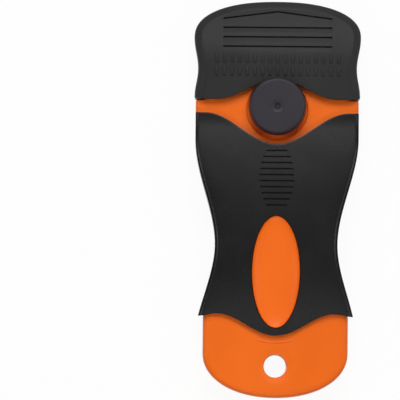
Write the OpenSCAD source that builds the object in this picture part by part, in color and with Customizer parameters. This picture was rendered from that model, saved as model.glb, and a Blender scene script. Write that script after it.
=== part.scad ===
/* [Handle] */
// Length of the handle, from the tail end to the toe of the jaw
handle_len = 89.9; // [88:0.1:96]
// Width of the handle's tail
tail_w = 39.1; // [38.4:0.1:40.2]
// Length of the tail's rounded end
tail_round = 12; // [10:0.5:15]
// Half the core's thickness at the tail end
tail_half_t = 3.2; // [2.8:0.1:3.8]
// Distance of the thickest place from the tail end
crest_at = 41; // [38:0.5:44]
// Length over which the swell of the handle fades out behind the ears
swell_fade = 4; // [2:0.5:8]
// Half the core's thickness at the head, under the knob
head_half_t = 3.6; // [3.3:0.05:3.9]
// Half the core's thickness at the toe of the jaw
toe_half_t = 3; // [2.6:0.1:3.2]
// How far the rounded rim of the core reaches in
core_round = 1.8; // [1:0.1:2.2]

/* [Grip] */
// Width of the grip at its waist
waist_w = 33; // [31:0.1:34]
// Distance of the waist from the tail end
waist_at = 41.2; // [39:0.1:43]
// Distance of the shoulders behind the toe
shoulder_back = 20.2; // [18:0.1:21]
// Thickness of the soft grip over the core
grip_t = 1.3; // [1.1:0.1:1.5]
// Thickness left of the grip where its back is cut flat, at the thickest place
back_skin_t = 0.55; // [0.4:0.05:0.8]
// How far the grip's rounded shoulder and crown reach in
grip_crown = 9; // [7:0.5:11]
// Distance of the grip's foot from the tail end, at the sides
foot_at = 21.8; // [20.5:0.1:23]
// Outward slope of the sides at the foot
foot_flare = 0.24; // [0.1:0.01:0.3]
// How far the middle of the foot's wave hangs below its crests
foot_dip = 5.9; // [4:0.1:6.4]
// Distance between the foot's two crests
foot_crest_w = 32; // [28:0.5:34]
// How far the foot's corners droop below the crests
foot_droop = 0.75; // [0.3:0.05:1]
// How far the middle of the head's wave lies behind its sides
head_dip = 8.5; // [7:0.1:9]
// Width over which the head's wave dips
head_dip_w = 39; // [36:0.5:40]
// Width of the oval window
window_w = 12.92; // [11:0.1:14]
// Length of the oval window
window_len = 30.5; // [26:0.5:31.5]
// Gap between the oval window and the middle of the foot's wave
window_gap = 1.9; // [1.2:0.1:3]
// Depth of the oval thumb rest below the grip
thumb_depth = 1.1; // [0.5:0.05:1.15]
// Number of grip ribs
grip_rib_count = 10; // [6:1:10]
// Pitch of the grip ribs
grip_rib_pitch = 1.634; // [1.5:0.01:1.7]
// Length of the longest grip rib
grip_rib_len = 9.3; // [7:0.1:11]
// Depth of the grip ribs
grip_rib_depth = 0.45; // [0.2:0.05:0.6]
// Distance of the last grip rib behind the middle of the head's wave
grip_rib_gap = 1.5; // [1:0.1:2]

/* [Jaw] */
// Length of the jaw, from the ears to the toe
jaw_len = 9.65; // [9.2:0.05:10.4]
// Cheek of plastic beside the blade's bed
jaw_cheek = 0.85; // [0.6:0.05:1.2]
// Step from the jaw out to the ears and the grip's shoulders
ear_step = 2; // [1.8:0.05:2.2]
// Length of the ears
ear_len = 3.55; // [3:0.05:4]
// Corner radius of the ears and the toe
corner_r = 0.9; // [0.5:0.1:1.2]
// Distance of the knob's axis behind the toe
knob_back = 11.6; // [11.2:0.1:12]
// Depth of the dish round the knob
dish_depth = 0.4; // [0.2:0.05:0.6]
// Land of the dish's flat floor round the washer
dish_land = 0.7; // [0.3:0.1:1]
// Slope length of the dish's flared side, in plan
dish_flare = 3.4; // [2:0.1:4]

/* [Blade] */
// Width of the blade
blade_w = 38.1; // [37.6:0.1:38.6]
// Depth of the blade, edge to back
blade_depth = 19.05; // [18.6:0.05:19.4]
// Thickness of the blade
blade_t = 0.3; // [0.23:0.01:0.4]
// How far the blade's edge stands out of the jaw
blade_reach = 5.9; // [4:0.1:6.5]
// Length of the ground bevel
bevel_len = 1.1; // [0.6:0.1:1.6]
// Play round the blade in its bed
blade_play = 0.1; // [0.05:0.01:0.15]
// Width of the slot round the screw
slot_w = 5; // [4.6:0.1:5.6]

/* [Clamp] */
// Diameter of the knob
knob_d = 15.6; // [14:0.1:17]
// Thickness of the knob's disc
knob_t = 4; // [3.6:0.1:5]
// Rounding of the knob's upper rim
knob_round = 1; // [0.4:0.1:1.4]
// Diameter of the knob's hub
hub_d = 10; // [9.4:0.1:10.4]
// Gap between the cap's top and the knob's disc
disc_gap = 0.35; // [0.2:0.05:0.8]
// Diameter of the dimple in the knob
dimple_d = 1.6; // [1:0.1:2.4]
// Depth of the dimple in the knob
dimple_depth = 0.5; // [0.2:0.1:0.8]
// Diameter of the clamp screw
screw_d = 4; // [3.6:0.1:4]
// Height of the screw's hexagon head
screw_head_t = 2.4; // [2:0.1:2.6]
// Width across flats of the screw's head and nut
hex_af = 7; // [6.6:0.1:7.2]
// Thickness of the clamp nut
nut_t = 2.2; // [1.8:0.1:2.4]
// Diameter of the washer
washer_d = 9; // [8.6:0.1:9.6]
// Thickness of the washer
washer_t = 0.8; // [0.6:0.05:1]

/* [Tail] */
// Diameter of the hang hole
hang_d = 6; // [5:0.1:6.4]
// Distance of the hang hole from the tail end
hang_at = 8.6; // [8.2:0.1:9.4]
// Radius of the hinge bead
bead_r = 1; // [0.8:0.05:1.1]
// Length of the hinge bead
bead_len = 16; // [12:0.5:20]
// Distance of the hinge bead from the tail end
bead_at = 2.6; // [2.4:0.05:3]

/* [Cap] */
// How far the cap's nose stands past the blade's edge
cap_nose = 11.2; // [10:0.1:13]
// Wall of the cap beside the jaw, at its narrowest
cap_side_t = 1.18; // [1:0.02:1.4]
// Wall of the cap over and under the jaw
cap_wall = 1.4; // [1.2:0.1:1.6]
// Swell of the cap's sides towards the nose
nose_swell = 1.05; // [0.6:0.05:1.4]
// Swell of the cap's sides towards the mouth
mouth_swell = 0.92; // [0.5:0.02:1.2]
// Rounding of the mouth's two corners
mouth_round = 0.4; // [0.2:0.05:0.6]
// Length of the cap's rounded nose
nose_round = 9.8; // [8:0.1:10.5]
// Half the cap's thickness at its nose
nose_half_t = 3.4; // [3:0.1:3.8]
// Rise of the arch in the cap's mouth
arch_rise = 5.2; // [4:0.1:5.6]
// Width of the arch in the cap's mouth
arch_w = 33; // [30:0.5:35]
// How far the cap's rounded flank reaches in
flank_in = 2.2; // [1.6:0.1:2.6]
// Play between the cap and the sides of the jaw
cap_play = 0.27; // [0.15:0.01:0.35]
// Gap between the cap's mouth and the ears
mouth_gap = 0.25; // [0.1:0.05:0.3]
// Half height of the narrow slot round the blade's edge
slot_half_t = 1.9; // [1.4:0.1:1.95]
// Number of straight ribs on the cap
cap_rib_count = 3; // [1:1:3]
// Pitch of the ribs on the cap
cap_rib_pitch = 2.6; // [2.4:0.05:2.7]
// Length of the ribs on the cap
cap_rib_len = 29.4; // [24:0.2:31]
// Depth of the ribs on the cap
cap_rib_depth = 0.5; // [0.3:0.05:0.6]
// Run of a rib's ramp, from its deep edge back to the skin
cap_rib_run = 1.7; // [1:0.1:2]
// Distance of the straight ribs' first edge behind the nose
cap_rib_back = 7; // [6.6:0.1:7.4]
// Distance of the bent rib's tip behind the nose
bent_rib_back = 2.65; // [2.4:0.05:2.9]
// How far the bent rib's ends fall behind its tip
bent_rib_fall = 1.9; // [1.4:0.1:2.2]

/* [Hidden] */

// Extra length by which cuts pass a face
overrun = 2;
// Gap along the seams between the hard core and the soft grip
seam = 0.06;
// Running clearance round the screw in the nut
thread_play = 0.05;
// Clearance round the screw in shells, washer and blade
screw_play = 0.2;
// Clearance round the nut in its pocket and round the hinge bead
pocket_play = 0.08;
// Room over the jaw inside the cap, in which the jaw opens
open_room = 0.85;
// Relief behind the hinge bead that lets the front half tip
tip_relief = 0.1;
// How far the nut lies below the back of the head
nut_sink = 0.1;
// Wall of the hollowed shells
shell_wall = 2.2;
// Depth of the hollows, measured from the parting plane
hollow_depth = 1.9;
// Number of hollows, and the web between two of them
hollow_count = 4;
hollow_web = 1.6;
// Distance of the first hollow from the tail end, and of the last behind the toe
hollow_at = 18.4;
hollow_back = 24.4;
// Locating pegs: radius, length, play and distance from the middle
peg_r = 1.5;
peg_len = 1.9;
peg_play = 0.1;
peg_out = 14;
// Distance of the pegs behind the toe
peg_back = 18.4;
// Embedding of one form in another where they are fused
bite = 1;
// Depth of the screw head below the underside of the knob's disc
head_drop = 0.8;
// Radius of the rounded corners of the jaw's pocket in the cap
pocket_r = 2;
// Room between the toe and the end of the jaw's pocket
toe_room = 0.3;
// Wall of solid plastic at the end of the blade's slot
slot_end_t = 3;
// Corner cut of the blade's back corners
blade_corner = 1.2;
// Power of the rounded nose and of the tail: 2 is an ellipse, more is squarer
nose_power = 2.3;
tail_power = 2.1;
// Height of the ground edge
edge_t = 0.04;
// Depth that a rib's ramp still has at its shallow end
rib_lip = 0.04;
// Spacing of the stations along the sides
station_step = 3;

round_fn = 64;
arc_steps = 9;

// Inset share and height share of each layer, from the parting plane up
core_layer_shares = [[0, 0], [0, 0.5], [0.1, 0.76], [0.42, 0.94], [1, 1]];
grip_layer_shares = [[0, 0], [0.01, 0.35], [0.06, 0.62], [0.15, 0.83],
    [0.27, 0.93], [0.6, 0.985], [1, 1]];
cap_layer_shares = [[0, 0], [0.03, 0.45], [0.1, 0.66], [0.5, 0.85], [0.9, 0.985], [1, 1]];
// Inset share and depth share of each layer of the thumb rest, from its rim in
thumb_shares = [[0, 0], [0.08, 0.3], [0.22, 0.6], [0.5, 0.88], [1, 1]];
// Width of the blunt tip of a rounded end, as a share of its half width
tip_share = 0.06;
// Reach of the thumb rest's sloping side as a share of half the window's width
thumb_reach_share = 0.85;
// Length of the grip ribs' ramp as a share of their pitch
rib_run_share = 0.8;
// Half length of the ribs' oval as a share of the length of the whole pattern
rib_oval_share = 0.625;

overall_len = handle_len + blade_reach + cap_nose;
tail_y = -overall_len / 2;
toe_y = tail_y + handle_len;
edge_y = toe_y + blade_reach;
nose_y = edge_y + cap_nose;
foot_y = tail_y + foot_at;
waist_y = tail_y + waist_at;
crest_y = tail_y + crest_at;
shoulder_y = toe_y - shoulder_back;
ear_y = toe_y - jaw_len;
ear_back_y = ear_y - ear_len;
knob_y = toe_y - knob_back;
foot_middle_y = foot_y + foot_droop - foot_dip;
head_middle_y = ear_back_y - head_dip;
window_y = foot_middle_y + window_gap + window_len / 2;
hang_y = tail_y + hang_at;
bead_y = tail_y + bead_at;
peg_y = toe_y - peg_back;
mouth_y = ear_y + mouth_gap;
nose_side_y = nose_y - nose_round;

tail_half = tail_w / 2;
foot_half = tail_half + grip_t;
waist_half = waist_w / 2;
jaw_half = blade_w / 2 + blade_play + jaw_cheek;
shoulder_half = jaw_half + ear_step;
wave_half = shoulder_half + foot_half;
pocket_half = jaw_half + cap_play;
cap_waist_half = pocket_half + cap_side_t;
nose_half = cap_waist_half + nose_swell;
mouth_half = cap_waist_half + mouth_swell;
cap_waist_y = (mouth_y + nose_side_y) / 2;
pocket_half_t = head_half_t + open_room;
mid_z = pocket_half_t + cap_wall;
crest_half_t = mid_z - back_skin_t;
crest_top = crest_half_t + grip_t;
dish_z = head_half_t - dish_depth;
washer_top = dish_z + washer_t;
disc_z = mid_z + disc_gap;
knob_top = disc_z + knob_t;
screw_head_z = disc_z - head_drop;
dish_r = washer_d / 2 + dish_land;
hollow_len = (handle_len - hollow_at - hollow_back + hollow_web) / hollow_count - hollow_web;
nut_z = nut_sink - head_half_t;
screw_r = screw_d / 2;
hex_r = hex_af / 2 / cos(30);

// Smooth step from 0 to 1
function ease(t) = (1 - cos(180 * min(1, max(0, t)))) / 2;

// Value at y between two eased stations, each a place and a size
function eased(y, a, b) = a[1] + (b[1] - a[1]) * ease((y - a[0]) / (b[0] - a[0]));

// Cubic curve over a span, with a slope at its start and none at its end
function bend(from, to, slope, span, t) =
    from + (to - from) * (3 - 2 * t) * t * t + slope * span * t * (1 - t) * (1 - t);

// Half the width of the grip's outer side at y
function grip_half(y) =
    y < foot_y ? foot_half + foot_flare * (foot_y - y)
    : y < waist_y ? bend(foot_half, waist_half, -foot_flare, waist_y - foot_y,
        (y - foot_y) / (waist_y - foot_y))
    : y < shoulder_y ? bend(waist_half, shoulder_half, 0, shoulder_y - waist_y,
        (y - waist_y) / (shoulder_y - waist_y))
    : shoulder_half;

// Half the width of the hard core at y, under the grip and in the tail
function core_half(y) = y < foot_y ? tail_half : grip_half(y) - grip_t;

// Share of a fall at t, from 0 to 1, which is steepest at the share b
function fall(t, b) = t < b ? t * t / b : 1 - (1 - t) * (1 - t) / (1 - b);

// Half the thickness at y between the crest and a far place, steepest at a place on the way
function swell(y, steep, far, far_half_t) =
    let (span = far - crest_y)
    crest_half_t + (far_half_t - crest_half_t) * fall((y - crest_y) / span, (steep - crest_y) / span);

// Half the thickness of the hard core at y
function core_half_t(y) =
    y < crest_y ? swell(y, foot_y, tail_y, tail_half_t)
    : y < ear_back_y ? swell(y, ear_back_y - swell_fade, ear_back_y, head_half_t)
    : y < knob_y ? head_half_t
    : eased(y, [knob_y, head_half_t], [toe_y, toe_half_t]);

function grip_half_t(y) = core_half_t(y) + grip_t;

// Half the width of the cap at y, from the mouth to the start of the nose
function cap_half(y) =
    y < cap_waist_y ? eased(y, [mouth_y + mouth_round, mouth_half], [cap_waist_y, cap_waist_half])
    : eased(y, [cap_waist_y, cap_waist_half], [nose_side_y, nose_half]);

// Half the thickness of the cap at y
function cap_half_t(y) = eased(y, [toe_y, mid_z], [nose_y, nose_half_t]);

// Height of the waves that bound the grip and the cap's mouth, at x
function head_wave(x) =
    ear_back_y - head_dip * (1 - ease(abs(x) / (head_dip_w / 2)));
function foot_wave(x) =
    let (crest = foot_crest_w / 2, corner = foot_half - crest)
    foot_y + foot_droop * (1 - ease((abs(x) - crest) / corner))
        - foot_dip * (1 - ease(abs(x) / crest));
function mouth_wave(x) = mouth_y + arch_rise * (1 - ease(abs(x) / (arch_w / 2)));

// Rounded end as rim points: place, then the direction in which layers draw in
function round_end(half, length, y, power, way) = concat(
    [for (i = [0:arc_steps - 1])
        let (t = 90 * i / arc_steps, u = pow(cos(t), 2 / power), v = way * pow(sin(t), 2 / power))
        [half * u, y + length * v, u, v]],
    [[half * tip_share, y + length * way, tip_share, way]]);

function backwards(list) = [for (i = [len(list) - 1:-1:0]) list[i]];

// Straight-in rim points along a side, between two places
function side(from, to, half) =
    let (count = max(1, round((to - from) / station_step)))
    [for (i = [0:count]) let (y = from + (to - from) * i / count) [half(y), y, 1, 0]];

// Rounded corner whose points all draw in both ways
function corner(half, y) = [for (i = [0:arc_steps / 3])
    let (t = 90 * i / (arc_steps / 3))
    [half - corner_r * (1 - cos(t)), y - corner_r * (1 - sin(t)), 1, 1]];

core_rim = concat(
    backwards(round_end(tail_half, tail_round, tail_y + tail_round, tail_power, -1)),
    side(tail_y + tail_round + station_step, ear_back_y, function(y) core_half(y)),
    [[shoulder_half, ear_back_y + seam, 1, 0]],
    corner(shoulder_half, ear_y),
    [[jaw_half, ear_y + seam, 1, 1], [jaw_half, ear_y + corner_r, 1, 0]],
    [[jaw_half, toe_y - corner_r - core_round - seam, 1, 0]],
    corner(jaw_half, toe_y));

grip_rim = side(foot_y - foot_dip - overrun, ear_back_y + overrun, function(y) grip_half(y));

thumb_rim = let (half = window_w / 2 - seam, length = window_len / 2 - seam)
    concat(backwards(round_end(half, length, window_y, 2, -1)),
        [for (p = round_end(half, length, window_y, 2, 1)) if (p[1] > window_y) p]);

cap_rim = concat(
    [[mouth_half - mouth_round, mouth_y, 1, 0], [mouth_half - mouth_round / 3, mouth_y + mouth_round, 1, 0]],
    side(mouth_y + 3 * mouth_round, nose_side_y - station_step / 2, function(y) cap_half(y)),
    round_end(nose_half, nose_round, nose_side_y, nose_power, 1));

// Solid that rises from a level floor, with one ring of points for each layer.
// The rim is its right side from tail to nose, and the left side mirrors it.
module pillow(rim, shares, reach, half_t, floor_z) {
    n = len(rim);
    m = 2 * n;
    levels = concat([[0, undef]], [for (s = shares) if (s[1] > 0 || floor_z < 0) s]);
    points = [for (level = levels) for (j = [0:m - 1])
        let (p = rim[j < n ? j : m - 1 - j], flip = j < n ? 1 : -1)
        let (x = p[0] - level[0] * reach * p[2], y = p[1] - level[0] * reach * p[3])
        [flip * x, y, is_undef(level[1]) ? floor_z : level[1] * half_t(y)]];
    top = m * (len(levels) - 1);
    walls = [for (k = [0:len(levels) - 2]) for (j = [0:m - 1])
        let (low = m * k + j, next = m * k + (j + 1) % m)
        each [[low, low + m, next + m], [low, next + m, next]]];
    lids = [for (i = [0:n - 2]) let (r = i, l = m - 1 - i)
        each [[r, r + 1, l - 1], [r, l - 1, l],
            [top + r, top + l, top + l - 1], [top + r, top + l - 1, top + r + 1]]];
    polyhedron(points = points, faces = concat(walls, lids), convexity = 6);
}

module core_half_solid(floor_z) {
    pillow(core_rim, core_layer_shares, core_round, function(y) core_half_t(y), floor_z);
}

// Upright prism of everything in front of (way 1) or behind (way -1) a wave
module past_wave(wave, span, way, depth) {
    steps = 2 * arc_steps;
    xs = concat([-wave_half], [for (i = [-steps:steps]) span * i / steps], [wave_half]);
    far = way > 0 ? nose_y + overrun : tail_y - overrun;
    translate([0, 0, -overrun])
        linear_extrude(height = depth + 2 * overrun)
            polygon(concat([for (x = xs) [x, wave(x)]], [[wave_half, far], [-wave_half, far]]));
}

module window_prism(gap) {
    translate([0, window_y, -overrun])
        linear_extrude(height = crest_top + 2 * overrun)
            polygon([for (i = [0:4 * arc_steps - 1]) let (t = 90 * i / arc_steps)
                [(window_w / 2 - gap) * cos(t), (window_len / 2 - gap) * sin(t)]]);
}

// Wedge cut along X: deep at its front edge, rising to the skin behind it
module rib_cut(y, from, to, depth, run, top_at) {
    translate([from, 0, 0])
        rotate([90, 0, 90])
            linear_extrude(height = to - from)
                polygon([[y, top_at(y) - depth], [y, top_at(y) + overrun],
                    [y - run, top_at(y - run) + overrun], [y - run, top_at(y - run) - rib_lip]]);
}

// Hollows between the webs, cut from the parting plane into one half
module hollows() {
    for (i = [0:hollow_count - 1]) {
        from = tail_y + hollow_at + i * (hollow_len + hollow_web);
        right = side(from, from + hollow_len, function(y) core_half(y) - shell_wall);
        translate([0, 0, -overrun])
            linear_extrude(height = hollow_depth + overrun)
                polygon(concat([for (p = right) [p[0], p[1]]],
                    [for (p = backwards(right)) [-p[0], p[1]]]));
    }
}

module upright(r, y, x = 0) {
    translate([x, y, -mid_z - overrun])
        cylinder(r = r, h = 2 * (mid_z + overrun), $fn = round_fn);
}

module bead(r, length) {
    translate([-length / 2, bead_y, 0])
        rotate([0, 90, 0])
            cylinder(r = r, h = length, $fn = round_fn);
}

module back_shell() {
    color("#e8641f")
    translate([0, 0, mid_z])
        difference() {
            mirror([0, 0, 1]) core_half_solid(0);
            mirror([0, 0, 1]) hollows();
            upright(hang_d / 2, hang_y);
            upright(screw_r + screw_play, knob_y);
            bead(bead_r + pocket_play, bead_len + 2 * pocket_play);
            for (x = [-peg_out, peg_out])
                translate([x, peg_y, -peg_len - peg_play])
                    cylinder(r = peg_r + peg_play, h = peg_len + overrun, $fn = round_fn);
            translate([-blade_w / 2 - blade_play, edge_y - blade_depth - blade_play, -blade_t])
                cube([blade_w + 2 * blade_play, blade_depth, blade_t + overrun]);
            translate([0, knob_y, -head_half_t - overrun])
                cylinder(r = hex_r + pocket_play, h = overrun + nut_sink + nut_t, $fn = 6);
        }
}

module front_shell() {
    color("#e8641f")
    translate([0, 0, mid_z]) {
        difference() {
            union() {
                core_half_solid(0);
                pillow(thumb_rim, [for (p = thumb_shares) [p[0], 1 - p[1] * thumb_depth / crest_top]],
                    thumb_reach_share * window_w / 2, function(y) grip_half_t(y),
                    hollow_depth + bite);
            }
            hollows();
            upright(hang_d / 2, hang_y);
            upright(screw_r + screw_play, knob_y);
            translate([0, knob_y, dish_z])
                cylinder(r1 = dish_r, r2 = dish_r + dish_flare * (dish_depth + overrun) / dish_depth,
                    h = dish_depth + overrun, $fn = round_fn);
            translate([-tail_half, tail_y - overrun, -overrun])
                cube([tail_w, bead_at + overrun, tip_relief + overrun]);
        }
        bead(bead_r, bead_len);
        for (x = [-peg_out, peg_out])
            translate([x, peg_y, -peg_len])
                cylinder(r = peg_r, h = peg_len + bite, $fn = round_fn);
    }
}

module grip_half_solid() {
    difference() {
        pillow(grip_rim, grip_layer_shares, grip_crown, function(y) grip_half_t(y), 0);
        core_half_solid(-overrun);
        past_wave(function(x) head_wave(x), head_dip_w / 2, 1, crest_top);
        past_wave(function(x) foot_wave(x), foot_half, -1, crest_top);
    }
}

module front_grip() {
    last = head_middle_y - grip_rib_gap;
    middle = last - (grip_rib_count - 1) * grip_rib_pitch / 2;
    oval = rib_oval_share * (grip_rib_count - 1) * grip_rib_pitch;
    color("#26262a")
    translate([0, 0, mid_z])
        difference() {
            grip_half_solid();
            window_prism(0);
            for (i = [0:grip_rib_count - 1]) {
                y = last - i * grip_rib_pitch;
                half = grip_rib_len / 2 * sqrt(1 - pow((y - middle) / oval, 2));
                rib_cut(y, -half, half, grip_rib_depth, rib_run_share * grip_rib_pitch,
                    function(y) grip_half_t(y));
            }
        }
}

module back_grip() {
    color("#26262a")
    intersection() {
        translate([0, 0, mid_z]) mirror([0, 0, 1]) grip_half_solid();
        translate([-wave_half, tail_y - overrun, 0])
            cube([2 * wave_half, overall_len, mid_z + overrun]);
    }
}

module blade() {
    color("#c9ccd0")
    translate([0, edge_y, mid_z - blade_t])
        difference() {
            rotate([90, 0, 90])
                translate([0, 0, -blade_w / 2])
                    linear_extrude(height = blade_w)
                        polygon([[-blade_depth, 0], [0, 0], [0, edge_t],
                            [-bevel_len, blade_t], [-blade_depth, blade_t]]);
            translate([0, knob_y - edge_y, -overrun])
                linear_extrude(height = blade_t + 2 * overrun) {
                    circle(r = slot_w / 2, $fn = round_fn);
                    translate([-slot_w / 2, -blade_depth])
                        square([slot_w, blade_depth]);
                }
            for (flip = [0, 1])
                mirror([flip, 0, 0])
                    translate([blade_w / 2, -blade_depth, -overrun])
                        linear_extrude(height = blade_t + 2 * overrun)
                            polygon([[-blade_corner, -overrun], [overrun, -overrun],
                                [overrun, blade_corner], [0, blade_corner], [-blade_corner, 0]]);
        }
}

module clamp_nut() {
    color("#9fa3a8")
    translate([0, knob_y, mid_z + nut_z])
        difference() {
            cylinder(r = hex_r, h = nut_t, $fn = 6);
            translate([0, 0, -overrun])
                cylinder(r = screw_r + thread_play, h = nut_t + 2 * overrun, $fn = round_fn);
        }
}

module screw_solid() {
    translate([0, 0, nut_z])
        cylinder(r = screw_r, h = screw_head_z - nut_z, $fn = round_fn);
    translate([0, 0, screw_head_z])
        cylinder(r = hex_r, h = screw_head_t, $fn = 6);
}

module clamp_screw() {
    color("#9fa3a8")
    translate([0, knob_y, mid_z])
        screw_solid();
}

module clamp_washer() {
    color("#b5b8bc")
    translate([0, knob_y, mid_z + dish_z])
        difference() {
            cylinder(r = washer_d / 2, h = washer_t, $fn = round_fn);
            translate([0, 0, -overrun])
                cylinder(r = screw_r + screw_play / 2, h = washer_t + 2 * overrun, $fn = round_fn);
        }
}

module knob() {
    rim = knob_d / 2;
    lower = knob_round / 2;
    color("#35323a")
    translate([0, knob_y, mid_z])
        difference() {
            rotate_extrude($fn = round_fn)
                polygon(concat(
                    [[0, washer_top], [hub_d / 2, washer_top], [hub_d / 2, disc_z]],
                    [for (i = [0:arc_steps]) let (t = 90 * i / arc_steps)
                        [rim - lower * (1 - sin(t)), disc_z + lower * (1 - cos(t))]],
                    [for (i = [0:arc_steps]) let (t = 90 * i / arc_steps)
                        [rim - knob_round * (1 - cos(t)), knob_top - knob_round * (1 - sin(t))]],
                    [[0, knob_top]]));
            screw_solid();
            translate([0, 0, knob_top - dimple_depth])
                cylinder(r1 = dimple_d / 4, r2 = dimple_d / 4 + dimple_d / 4
                    * (dimple_depth + overrun) / dimple_depth,
                    h = dimple_depth + overrun, $fn = round_fn);
        }
}

// Pocket for the jaw, with rounded corners, and a narrower slot for the blade
module cap_hollow() {
    inner = pocket_half - pocket_r;
    upper = pocket_half_t - pocket_r;
    translate([0, toe_y + toe_room, 0])
        rotate([90, 0, 0])
            linear_extrude(height = jaw_len + toe_room + overrun) {
                square([2 * inner, 2 * pocket_half_t], center = true);
                square([2 * pocket_half, 2 * upper], center = true);
                for (x = [-inner, inner])
                    for (y = [-upper, upper])
                        translate([x, y])
                            circle(r = pocket_r, $fn = round_fn);
            }
    end = [for (p = round_end(pocket_half, nose_round - slot_end_t, nose_side_y, nose_power, 1)) p];
    translate([0, 0, -slot_half_t])
        linear_extrude(height = 2 * slot_half_t)
            polygon(concat([[pocket_half, toe_y]], [for (p = end) [p[0], p[1]]],
                [for (p = backwards(end)) [-p[0], p[1]]], [[-pocket_half, toe_y]]));
}

module cap() {
    straight_y = nose_y - cap_rib_back;
    tip_y = nose_y - bent_rib_back;
    reach = cap_rib_len / 2;
    top = function(y) cap_half_t(y);
    color("#303032")
    translate([0, 0, mid_z])
        difference() {
            union() {
                pillow(cap_rim, cap_layer_shares, flank_in, top, 0);
                mirror([0, 0, 1]) pillow(cap_rim, cap_layer_shares, flank_in, top, 0);
            }
            cap_hollow();
            translate([0, 0, overrun])
                past_wave(function(x) mouth_wave(x), arch_w / 2, -1, mid_z);
            for (i = [0:cap_rib_count - 1])
                rib_cut(straight_y - i * cap_rib_pitch, -reach, reach, cap_rib_depth, cap_rib_run, top);
            for (flip = [0, 1])
                mirror([flip, 0, 0])
                    translate([0, tip_y, top(tip_y)])
                        rotate([0, -atan((top(tip_y - bent_rib_fall) - top(tip_y)) / reach),
                            -atan(bent_rib_fall / reach)])
                            translate([0, -tip_y, -top(tip_y)])
                                rib_cut(tip_y, 0, reach, cap_rib_depth, cap_rib_run, top);
        }
}

back_shell();
front_shell();
back_grip();
front_grip();
blade();
clamp_nut();
clamp_screw();
clamp_washer();
knob();
cap();
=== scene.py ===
import math

import bmesh
import bpy
from bpy.props import FloatProperty, FloatVectorProperty, IntProperty, PointerProperty
from mathutils import Matrix, Vector


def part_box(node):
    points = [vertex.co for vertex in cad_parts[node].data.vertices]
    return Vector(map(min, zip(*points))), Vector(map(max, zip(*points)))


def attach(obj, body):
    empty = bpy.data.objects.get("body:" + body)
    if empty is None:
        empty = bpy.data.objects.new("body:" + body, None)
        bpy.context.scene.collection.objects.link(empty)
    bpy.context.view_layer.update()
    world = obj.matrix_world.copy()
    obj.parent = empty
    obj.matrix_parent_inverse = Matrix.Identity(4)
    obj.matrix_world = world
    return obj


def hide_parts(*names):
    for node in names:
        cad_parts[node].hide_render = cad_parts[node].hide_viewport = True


bl_info = {
    "name": "Blade Scraper",
    "version": (1, 0, 0),
    "blender": (4, 5, 0),
    "location": "View3D > Sidebar > Scraper",
    "description": "Builds the pieces of a capped razor blade scraper round its packed solids",
    "category": "Add Mesh",
}

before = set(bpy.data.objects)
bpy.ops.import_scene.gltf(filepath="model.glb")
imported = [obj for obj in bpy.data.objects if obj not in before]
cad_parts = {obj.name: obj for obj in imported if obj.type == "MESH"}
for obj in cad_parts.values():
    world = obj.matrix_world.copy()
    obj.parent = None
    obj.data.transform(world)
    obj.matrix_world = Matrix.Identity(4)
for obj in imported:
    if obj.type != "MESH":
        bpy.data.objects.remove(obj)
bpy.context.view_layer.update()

MM = 0.001

# Seam between neighbours, half the length of a plug that cuts right through, distance
# below which corners weld, and angle above which an edge stays crisp
SEAM = 0.06 * MM
THROUGH = 9 * MM
WELD = 0.002 * MM
CREASE = math.radians(32)

# Colour sockets of a Mix node
MIX_BELOW, MIX_TOP, MIX_RESULT = 6, 7, 2

# Oblique direction for sorting, in which the places of a mirrored shape don't tie
ORDER_AXIS = Vector((1.0, 3.7321, 11.3137))

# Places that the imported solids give, in metres
TAIL_Y, TOE_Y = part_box("back_shell")[0].y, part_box("back_shell")[1].y
EAR_HALF, MID_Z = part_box("back_shell")[1].x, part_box("back_shell")[1].z
FOOT_DIP_Y, EAR_BACK_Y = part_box("front_grip")[0].y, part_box("front_grip")[1].y
MOUTH_Y, NOSE_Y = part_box("cap")[0].y - 0.2 * MM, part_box("cap")[1].y
CAP_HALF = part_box("cap")[1].x
KNOB_LOW, KNOB_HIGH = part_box("knob")
KNOB_Y = (KNOB_LOW.y + KNOB_HIGH.y) / 2
KNOB_R = (KNOB_HIGH.x - KNOB_LOW.x) / 2
DISH_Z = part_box("clamp_washer")[0].z - MID_Z
BLADE_EDGE_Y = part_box("blade")[1].y

# How the layers of each moulded form draw in (first) and rise (second), as shares
CORE_LAYERS = [(0, 0), (0, 0.5), (0.1, 0.76), (0.42, 0.94), (1, 1)]
GRIP_LAYERS = [(0, 0), (0, 0.84), (0.02, 0.88), (0.06, 0.93), (0.14, 0.967), (0.5, 0.993), (1, 1)]
CAP_LAYERS = [(0, 0), (0.02, 0.45), (0.08, 0.68), (0.46, 0.85), (0.82, 0.97), (1, 1)]


def length(name, default, description):
    """A length property in metres, whose default is given in millimetres."""
    return FloatProperty(name=name, description=description, default=default * MM,
                         unit="LENGTH", subtype="DISTANCE", precision=5)


def colour(name, default, description):
    """A colour property."""
    return FloatVectorProperty(name=name, description=description, default=default,
                               size=3, min=0.0, max=1.0, subtype="COLOR")


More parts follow.
